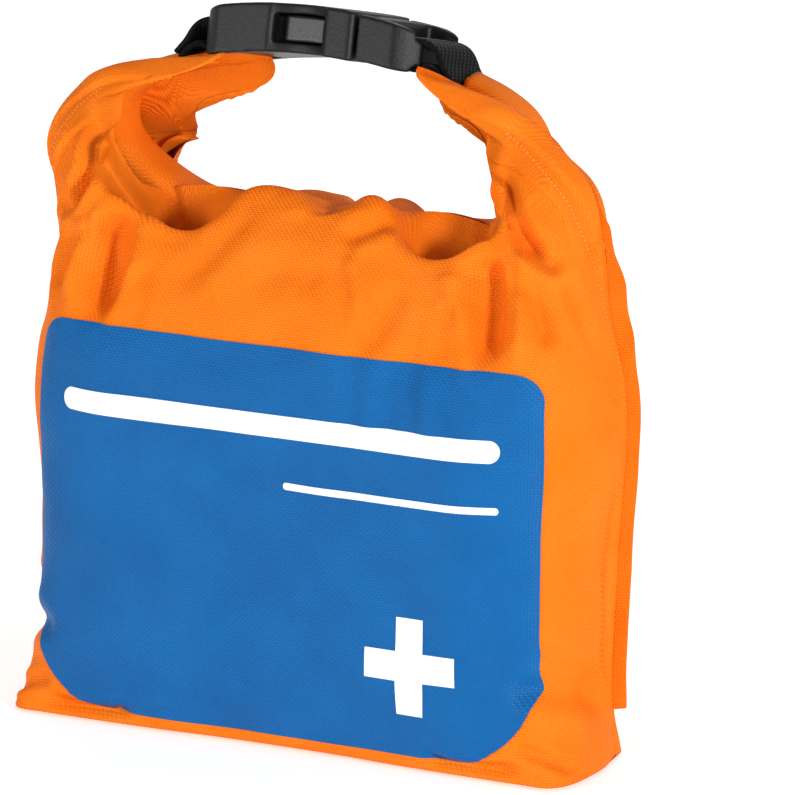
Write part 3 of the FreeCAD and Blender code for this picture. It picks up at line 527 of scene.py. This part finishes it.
def overlap(edge, beyond, step, rise, reach):
    """Height of a layer of cloth that ends at an edge and covers everything up to the places beyond it.

    It goes up by step at the edge, then by rise over the reach, and fades out where the edge is lowest."""
    step_width, fade = 0.45, 0.09
    away, _ = nearest(edge)
    s, t = np.meshgrid(S, T)
    covered = inside([tuple(place) for place in finer(edge)] + beyond, s, t)
    height = step * smooth(0, step_width, away) + rise * smooth(0, reach, away)
    lowest = min(place[1] for place in edge)
    return np.where(covered, height * smooth(lowest, lowest + fade, t), 0)


def ripples(wave, height, count, seed):
    """Low uneven waves all over the cloth, each 0.7 to 1.6 times as long as wave."""
    flat_width, flat_height = 183.0, 150.0
    draw = np.random.default_rng(seed)
    u, v = np.meshgrid(S * flat_width / 2, T * flat_height)
    total = np.zeros(u.shape)
    for _ in range(count):
        angle, phase = draw.uniform(0, math.pi), draw.uniform(0, 2 * math.pi)
        pace = 2 * math.pi / (wave * draw.uniform(0.7, 1.6))
        total += np.sin(pace * (u * math.cos(angle) + v * math.sin(angle)) + phase)
    return height * total / math.sqrt(count)


# path, depth, width: valleys have a depth above 0 and ridges one below 0. The EAR_FOLDS come on both sides.
EAR_FOLDS = [
    ([(0.50, 0.84), (0.518, 0.81), (0.53, 0.765), (0.532, 0.71), (0.52, 0.64)], 4.6, 4.2),
    ([(0.555, 0.85), (0.57, 0.81), (0.585, 0.76), (0.587, 0.71), (0.57, 0.65)], -0.9, 1.3),
    ([(0.705, 0.96), (0.70, 0.91), (0.70, 0.87), (0.745, 0.83), (0.80, 0.80)], 2.0, 2.3),
    ([(0.69, 0.89), (0.715, 0.85), (0.76, 0.815), (0.81, 0.80), (0.85, 0.81)], 1.5, 1.7),
    ([(0.685, 0.80), (0.717, 0.745), (0.742, 0.69)], 1.3, 2.4),
    ([(0.642, 0.79), (0.642, 0.73), (0.60, 0.66)], -0.9, 1.8),
    ([(0.425, 0.76), (0.425, 0.705), (0.415, 0.64)], 0.9, 2.2),
    ([(0.44, 0.77), (0.475, 0.71), (0.49, 0.64)], -0.8, 1.5),
    ([(0.83, 0.80), (0.86, 0.74), (0.90, 0.66)], 0.5, 1.6),
    ([(0.80, 0.77), (0.775, 0.705), (0.715, 0.65)], -0.5, 2.2),
    ([(0.90, 0.97), (0.93, 0.94), (0.965, 0.90)], -0.5, 1.6),
    ([(0.60, 0.15), (0.70, 0.163), (0.82, 0.145), (0.97, 0.10)], 1.7, 2.9),
    ([(0.70, 0.23), (0.792, 0.195), (0.93, 0.13)], 0.8, 2.6),
    ([(0.64, 0.065), (0.75, 0.05), (0.89, 0.015)], 1.2, 1.3),
    ([(0.40, 0.03), (0.508, 0.018), (0.72, 0.03)], 2.0, 1.4),
    ([(0.97, 0.50), (0.955, 0.30), (0.965, 0.14)], 0.6, 2.2),
]
TOP_FOLDS = [
    ([(0.09, 0.80), (0.165, 0.85), (0.225, 0.92)], 1.1, 2.4),
    ([(0.125, 0.79), (0.167, 0.75), (0.208, 0.69)], -0.8, 2.0),
    ([(0.0, 0.99), (0.035, 0.93), (0.06, 0.87)], 1.7, 4.5),
    ([(0.29, 0.78), (0.25, 0.70), (0.21, 0.64)], 0.8, 3.2),
    ([(-0.14, 0.72), (-0.02, 0.755), (0.09, 0.735)], 0.6, 3.5),
    ([(-0.35, 0.70), (-0.22, 0.78), (-0.12, 0.86)], 0.7, 3.0),
    ([(0.245, 0.68), (0.255, 0.60), (0.25, 0.52)], -0.5, 2.6),
    ([(0.395, 0.67), (0.40, 0.60), (0.42, 0.53)], -0.5, 2.4),
    ([(0.52, 0.36), (0.60, 0.25), (0.66, 0.17)], 0.7, 5.0),
    ([(-0.5, 0.42), (-0.25, 0.36), (0.05, 0.37)], 0.5, 7.0),
]
# The edges of the two layers of cloth that are wrapped round each ear
ROLL_EDGE = [
    (0.84, 1.0), (0.88, 0.965), (0.90, 0.93), (0.915, 0.88), (0.94, 0.83), (0.96, 0.785), (0.975, 0.73)]
TUCK_EDGE = [
    (0.69, 1.0), (0.72, 0.955), (0.775, 0.92), (0.825, 0.89), (0.87, 0.85), (0.885, 0.81), (0.86, 0.78)]
# How much deeper than listed the folds are pressed in
TOP_DEPTH, EAR_DEPTH = 1.5, 1.2


def mirrored_path(path, side):
    return [(s * side, t) for s, t in path]


def pressed_front():
    """The front with its folds, the layers wrapped round the ears, and low waves all over.

    All of it fades out towards the side seams and the floor, and most of it towards the upper edge."""
    lift = ripples(34, 0.35, 9, 5) + ripples(15, 0.13, 12, 8)
    for path, depth, width in TOP_FOLDS:
        lift += fold(path, TOP_DEPTH * depth, width)
    for side in (1, -1):
        for path, depth, width in EAR_FOLDS:
            lift += fold(mirrored_path(path, side), EAR_DEPTH * depth, width)
        rolled = [(side, 0.73), (side, 1.0)]
        tucked = [(0.93 * side, 0.8), (side, 0.85), (side, 1.0)]
        lift += overlap(mirrored_path(ROLL_EDGE, side), rolled, step=1.3, rise=0.2, reach=6)
        lift += overlap(mirrored_path(TUCK_EDGE, side), tucked, step=1.4, rise=0.4, reach=9)
    lift *= 1 - smooth(0.96, 1.0, np.abs(S))
    lift *= (smooth(0.0, 0.02, T) * (1 - 0.85 * smooth(0.93, 1.0, T)))[:, None]
    return front + normals_of(front) * lift[..., None]


front = pressed_front()
back = back_surface(front)
# The two side seams take the front's place.
for j in (0, N_S - 1):
    back[:, j] = front[:, j]


def bag_mesh():
    """The closed shell: front, back and the floor between their lowest rows."""
    rows, columns = front.shape[:2]
    floor_rows, floor_depth, merge = 9, 50, 0.00002
    share = np.linspace(0, 1, floor_rows + 2)[1:-1, None, None]
    under = front[0][None] * (1 - share) + back[0][None] * share
    points = np.concatenate([front.reshape(-1, 3), back.reshape(-1, 3), under.reshape(-1, 3)])
    count = rows * columns
    faces = grid_faces(rows, columns, 0)
    faces += grid_faces(rows, columns, count, flip=True)
    base = 2 * count
    faces += grid_faces(floor_rows, columns, base, flip=True)
    last = base + (floor_rows - 1) * columns
    for j in range(columns - 1):
        faces.append((j, j + 1, base + j + 1, base + j)[::-1])
        faces.append((last + j, last + j + 1, count + j + 1, count + j)[::-1])
    uv = uv_grid.reshape(-1, 2)
    under_u = np.broadcast_to(uv_grid[0, :, 0], (floor_rows, columns))
    under_v = np.broadcast_to(-share[..., 0] * floor_depth * MM, (floor_rows, columns))
    uvs = np.concatenate([uv, uv, np.stack([under_u, under_v], axis=-1).reshape(-1, 2)])
    piece = mesh_object("bag_shell", points, faces, uvs, materials["orange"])
    mesh = bmesh.new()
    mesh.from_mesh(piece.data)
    bmesh.ops.remove_doubles(mesh, verts=mesh.verts, dist=merge)
    mesh.to_mesh(piece.data)
    mesh.free()
    return piece


add_camera()
add_studio()
bag = bag_mesh()
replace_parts(bag, "front_panel", "back_panel", "bottom_gusset", "roll_end_left", "roll_end_right")
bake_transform(bag)


# ---------------------------------------------------------------- side flange

FLANGE_START, FLANGE_WIDTH = 10.8, 3.4
# From height to height, the flange gets wider by this many millimetres.
FLANGE_CHANGES = [(88, 100, 1.4), (106, 116, -2.6), (119, 124, -1.8)]


def flange_strip(name, side):
    """The welded seam allowance: a flat strip that stands out along one side, up to the ear's tip."""
    inner_s, sunk, steps = 0.93, 0.4, 7
    end = -1 if side > 0 else 0
    inner = int(np.searchsorted(S, inner_s * side))
    root = front[:, end]
    middle = (front[:, inner] + back[:, inner]) / 2
    start = int(np.searchsorted(root[:, 2], FLANGE_START))
    root, middle = root[start:], middle[start:]
    out = root - middle
    out /= np.linalg.norm(out, axis=1, keepdims=True)
    along = np.gradient(root, axis=0)
    along /= np.linalg.norm(along, axis=1, keepdims=True)
    normal = np.cross(along, out)
    reach = np.concatenate([[0], np.cumsum(np.linalg.norm(np.diff(root, axis=0), axis=1))])
    width = FLANGE_WIDTH
    for low, high, wider in FLANGE_CHANGES:
        width = width + wider * smooth(low, high, root[:, 2])
    points, uvs = [], []
    for i in range(steps):
        part = i / (steps - 1)
        wave = 0.5 * np.sin(reach * 0.19 + side) + 0.3 * np.sin(reach * 0.43 + 1.3)
        lift = (wave * part + 0.5 * part**2)[:, None] * normal * side
        points.append(root + out * (width * part - sunk)[:, None] + lift)
        uvs.append(np.stack([np.full(len(root), part * 5.0), reach], axis=1) * MM)
    faces = grid_faces(steps, len(root))
    piece = mesh_object(name, np.concatenate(points), faces, np.concatenate(uvs), materials["seam"])
    thicken(piece, 0.75, subdivide=1)
    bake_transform(piece)
    return piece


flange_strip("side_flange_right", 1)
flange_strip("side_flange_left", -1)


# ---------------------------------------------------------------- weld dots

WELD_PATH = [
    (0.885, 0.935), (0.883, 0.885), (0.915, 0.83), (0.945, 0.785), (0.962, 0.73), (0.982, 0.665),
    (0.988, 0.56)]
DOT_SPACING, DOT_LIFT, DOT_RADII = 1.05, 0.05, (0.3, 0.3, 0.14)


def bag_tree():
    """The bag's shell, ready for finding places on it."""
    mesh = bag.data
    return BVHTree.FromPolygons([v.co for v in mesh.vertices], [p.vertices[:] for p in mesh.polygons])


def weld_dots(name, side):
    """The row of small dots that the welding tool leaves beside the seam."""
    line = on_front(mirrored_path(WELD_PATH, side))
    knots = np.concatenate([[0], np.cumsum(np.linalg.norm(np.diff(line, axis=0), axis=1))])
    spots = np.arange(0, knots[-1], DOT_SPACING)
    places = cubic(knots, line, spots)
    shell = bag_tree()
    mesh = bmesh.new()
    for place in places:
        spot, normal, _, _ = shell.find_nearest(Vector(place) * MM)
        facing = normal if normal.y < 0 else -normal
        turn = facing.to_track_quat("Z", "Y").to_matrix().to_4x4()
        shape = Matrix.Translation(spot + facing * DOT_LIFT * MM) @ turn @ Matrix.Diagonal((*DOT_RADII, 1))
        bmesh.ops.create_icosphere(mesh, subdivisions=2, radius=MM, matrix=shape)
    data = bpy.data.meshes.new(name)
    mesh.to_mesh(data)
    mesh.free()
    shade_smooth(data)
    data.uv_layers.new(name="cloth")
    data.materials.append(materials["weld"])
    piece = add_object(name, data)
    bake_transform(piece)
    return piece


weld_dots("weld_dots_right", 1)
weld_dots("weld_dots_left", -1)


# ---------------------------------------------------------------- rolled mouth

# The right half of the roll's middle line: x and height
ROLL_PATH = [
    (0, 113), (14, 113), (26, 113), (35.5, 114), (43, 119.5), (46.5, 127), (46.3, 133.5), (43, 139.8),
    (36.5, 144.8), (29, 148)]


def roll_centre():
    """The middle line of the rolled mouth: across the top and up into both ears."""
    right = np.array(ROLL_PATH, float)
    line = np.concatenate([right[:0:-1] * [-1, 1], right])
    knots = np.concatenate([[0], np.cumsum(np.linalg.norm(np.diff(line, axis=0), axis=1))])
    spots = np.linspace(0, knots[-1], 121)
    flat = cubic(knots, line, spots)
    flat[:, 0] += left_shift(flat[:, 0], flat[:, 1])
    return flat, spots


def rolled_mouth():
    """The roll: a spiral of the two mouth layers pressed flat, swept along its middle line."""
    line, spots = roll_centre()
    along = np.gradient(line, axis=0)
    along /= np.linalg.norm(along, axis=1, keepdims=True)
    up = np.stack([-along[:, 1], along[:, 0]], axis=1)
    turns, per_turn, flatness = 2.6, 36, 0.75
    half_width, half_height, back_when_low = 7.2, 3.6, 7
    count = int(turns * per_turn)
    angle = np.linspace(0, turns * 2 * math.pi, count)
    grow = 0.35 + 0.65 * angle / angle[-1]
    wide = half_width * grow * np.sign(np.cos(angle)) * np.abs(np.cos(angle)) ** flatness
    high = half_height * grow * np.sign(np.sin(angle)) * np.abs(np.sin(angle)) ** flatness
    taper = 1 - 0.45 * smooth(0.7, 1.0, np.abs(spots / spots[-1] * 2 - 1))
    section = np.stack([wide, high], axis=1)
    girth = np.concatenate([[0], np.cumsum(np.linalg.norm(np.diff(section, axis=0), axis=1))])
    points, uvs = [], []
    for i, (centre, rise) in enumerate(zip(line, up)):
        z = centre[1] + rise[1] * high * taper[i]
        x = centre[0] + rise[0] * high * taper[i]
        y = lean_y(centre[1]) + back_when_low * (1 - smooth(112, 130, centre[1])) + wide * taper[i]
        points.append(np.stack([x, y, z], axis=1))
        uvs.append(np.stack([np.full(count, spots[i]), girth], axis=1) * MM)
    points, uvs = np.concatenate(points), np.concatenate(uvs)
    piece = mesh_object("rolled_mouth", points, grid_faces(len(line), count), uvs, materials["orange"])
    thicken(piece, 0.5)
    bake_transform(piece)
    return piece


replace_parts(rolled_mouth(), "closure_roll", "mouth_stiffener_front", "mouth_stiffener_back",
            "roll_end_stiffener_left", "roll_end_stiffener_right")


# ---------------------------------------------------------------- panel and print

def rounded_outline(x0, z0, x1, z1, low, high):
    """A rectangle seen from the front, with one radius for its lower corners and one for its upper ones."""
    steps = 12
    corners = [(x0, z0, low, 180), (x1, z0, low, 270), (x1, z1, high, 0), (x0, z1, high, 90)]
    ring = []
    for cx, cz, radius, start in corners:
        mx = cx + radius if cx == x0 else cx - radius
        mz = cz + radius if cz == z0 else cz - radius
        for i in range(steps + 1):
            angle = math.radians(start + 90 * i / steps)
            ring.append((mx + radius * math.cos(angle), mz + radius * math.sin(angle)))
    return ring


def cross_outline(x, z, arm, bar):
    """A cross round (x, z) with arms of this length and half width."""
    ring = []
    for quarter in range(4):
        angle = math.radians(90 * quarter)
        cos, sin = math.cos(angle), math.sin(angle)
        for a, b in ((arm, -bar), (arm, bar), (bar, bar)):
            ring.append((x + a * cos - b * sin, z + a * sin + b * cos))
    return ring


def film(name, outlines, lift, material):
    """A thin film on the front: sheets in their outlines, cut into small squares, pressed on to the bag."""
    spacing = 0.9
    shell = bag_tree()
    mesh = bmesh.new()
    for ring in outlines:
        mesh.faces.new([mesh.verts.new((x * MM, 0, z * MM)) for x, z in ring])
    for axis in (0, 2):
        low = min(v.co[axis] for v in mesh.verts)
        high = max(v.co[axis] for v in mesh.verts)
        count = int((high - low) / (spacing * MM))
        for i in range(1, count):
            spot, normal = Vector((0, 0, 0)), Vector((0, 0, 0))
            spot[axis], normal[axis] = low + (high - low) * i / count, 1
            whole = mesh.verts[:] + mesh.edges[:] + mesh.faces[:]
            bmesh.ops.bisect_plane(mesh, geom=whole, plane_co=spot, plane_no=normal, dist=1e-7)
    layer = mesh.loops.layers.uv.new("cloth")
    for face in mesh.faces:
        for loop in face.loops:
            loop[layer].uv = (loop.vert.co.x, loop.vert.co.z)
    for vert in mesh.verts:
        hit, normal, _, _ = shell.ray_cast(Vector((vert.co.x, -0.1, vert.co.z)), Vector((0, 1, 0)))
        if normal.y > 0:
            normal = -normal
        vert.co = hit + normal * lift * MM
    mesh.normal_update()
    data = bpy.data.meshes.new(name)
    mesh.to_mesh(data)
    mesh.free()
    shade_smooth(data)
    data.materials.append(material)
    piece = add_object(name, data)
    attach(piece, "bag")
    return piece


# Left, lower, right and upper edge, then the radius of the lower corners and of the upper ones
PANEL = (-62.8, 3.5, 62.8, 91.4, 20, 6.5)
BROAD_STRIPE = (-54.5, 72, 54.5, 77, 2.4, 2.4)
FINE_STRIPE = (2.5, 60.6, 54.5, 62.2, 0.75, 0.75)
# Middle, length of an arm, half of its width
CROSS = (34.5, 24.5, 11, 3.3)
PANEL_LIFT, PRINT_LIFT = 0.38, 0.5

panel = film("front_colour_panel", [rounded_outline(*PANEL)], PANEL_LIFT, materials["blue"])
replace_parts(panel, "colour_panel")
marks = [rounded_outline(*BROAD_STRIPE), rounded_outline(*FINE_STRIPE), cross_outline(*CROSS)]
prints = film("front_print", marks, PRINT_LIFT, materials["white"])
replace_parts(prints, "panel_print")


# ---------------------------------------------------------------- buckle and webbing

def in_handle(x, y, z):
    """From the upright handle's own millimetres to the bag's."""
    cos, sin = math.cos(LEAN), math.sin(LEAN)
    return HANDLE_X + x, y * cos + z * sin, HINGE_Z - y * sin + z * cos


def moulded(name, source, body, voxel, rounds, material):
    """A moulded part: the CAD shape with its edges rounded as they come out of a mould."""
    data = frame["nodes"][source].data.copy()
    piece = add_object(name, data)
    data.materials.clear()
    data.materials.append(material)
    remesh = piece.modifiers.new("remesh", "REMESH")
    remesh.mode = "VOXEL"
    remesh.voxel_size = voxel * MM
    remesh.use_smooth_shade = True
    soft = piece.modifiers.new("soft", "SMOOTH")
    soft.factor = 0.5
    soft.iterations = rounds
    apply_modifiers(piece)
    data = piece.data
    shade_smooth(data)
    if not data.materials:
        data.materials.append(material)
    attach(piece, body)
    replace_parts(piece, source)
    return piece


# The arched buckle: the radius of its middle line, and that line's height in the handle at x 0
ARCH_RADIUS, ARCH_MIDDLE = 124.5, 42.1


def rounded_end(piece, end, reach, least):
    """Thins the last few millimetres of a moulded half, as far as its end at x, into a rounded nose."""
    side = 1 if end > 0 else -1
    cos, sin = math.cos(LEAN), math.sin(LEAN)
    for vert in piece.data.vertices:
        x, y, z = vert.co / MM
        x -= HANDLE_X
        across = y * cos - (z - HINGE_Z) * sin
        up = y * sin + (z - HINGE_Z) * cos
        left = min(max((end - x) * side / reach, 0), 1)
        share = least + (1 - least) * math.sqrt(1 - (1 - left) ** 2)
        narrowed = across * (0.85 + 0.15 * share)
        middle = ARCH_MIDDLE - x**2 / (2 * ARCH_RADIUS)
        vert.co = Vector(in_handle(x, narrowed, middle + (up - middle) * share)) * MM
    piece.data.update()


socket = moulded("buckle_socket_half", "buckle_socket", "handle", 0.35, 14, materials["black"])
plug = moulded("buckle_plug_half", "buckle_plug", "handle", 0.35, 20, materials["black"])
rounded_end(socket, -27.3, 6.5, 0.68)
rounded_end(plug, 27.3, 8, 0.66)
moulded("buckle_lock_front", "buckle_arm_front", "lock_front", 0.3, 5, materials["smooth_black"])
moulded("buckle_lock_rear", "buckle_arm_rear", "lock_rear", 0.3, 5, materials["smooth_black"])


def strap(name, side, source):
    """Webbing looped round a buckle bar. Both layers come together and run down into the ear."""
    bar, layer, bar_share, meet = 3.2, 0.75, 0.18, 7
    half, columns = 9.6, 15
    route = np.array([(25, 39), (28.5, 38.8), (31.5, 36.5), (34, 33.5)], float)
    centre = route[0]
    line = cubic(np.linspace(0, 1, len(route)), route, np.linspace(bar_share, 1, 24))
    way = np.gradient(line, axis=0)
    way /= np.linalg.norm(way, axis=1, keepdims=True)
    across = np.stack([-way[:, 1], way[:, 0]], axis=1)
    apart = layer + (bar - layer) * (1 - smooth(0, meet, np.linalg.norm(line - centre, axis=1) - 1))[:, None]
    turn = np.linspace(math.pi / 2, 3 * math.pi / 2, 13)
    loop = [centre + way[0] * math.cos(a) * bar + across[0] * math.sin(a) * bar for a in turn]
    path = np.concatenate([(line + across * apart)[::-1], loop, line - across * apart])
    knots = np.concatenate([[0], np.cumsum(np.linalg.norm(np.diff(path, axis=0), axis=1))])
    spots = np.linspace(0, knots[-1], 110)
    run = np.stack([np.interp(spots, knots, path[:, axis]) for axis in (0, 1)], axis=1)
    widths = np.linspace(-half, half, columns)
    points, uvs = [], []
    for (x, z), spot in zip(run, spots):
        points += [in_handle(x * side, y, z) for y in widths]
        uvs += [(y * MM, spot * MM) for y in widths]
    piece = mesh_object(name, points, grid_faces(len(run), columns), uvs, materials["webbing"])
    thicken(piece, 1.3, subdivide=1)
    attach(piece, "handle")
    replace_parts(piece, source)
    return piece


strap("strap_right", 1, "webbing_right")
strap("strap_left", -1, "webbing_left")


# ---------------------------------------------------------------- contents

# Colour and roughness of every slot that is seen only in the bag's inside
SLOT_LOOK = {
    "gauze": ((0.84, 0.82, 0.76), 0.8),
    "elastic_cloth": ((0.62, 0.45, 0.28), 0.85),
    "paper_white": ((0.85, 0.85, 0.84), 0.6),
    "silver_foil": ((0.75, 0.75, 0.76), 0.25),
    "green_wrap": ((0.02, 0.17, 0.08), 0.8),
    "skin_tape": ((0.7, 0.48, 0.3), 0.7),
    "glove_blue": ((0.05, 0.17, 0.5), 0.5),
    "card": ((0.8, 0.8, 0.74), 0.5),
    "strip_white": ((0.7, 0.7, 0.66), 0.5),
    "grip_red": ((0.5, 0.01, 0.008), 0.35),
    "steel": ((0.5, 0.5, 0.52), 0.3),
}
looks = {}
for slot_name, (colour, rough) in SLOT_LOOK.items():
    looks[slot_name] = plastic_material("packed_" + slot_name, colour, rough, grain=0.00005, scale=1200)
for row in frame["record"]["subparts"]:
    data = frame["nodes"][row["node"]].data
    if row["material_slot"] in looks:
        data.materials.clear()
        data.materials.append(looks[row["material_slot"]])
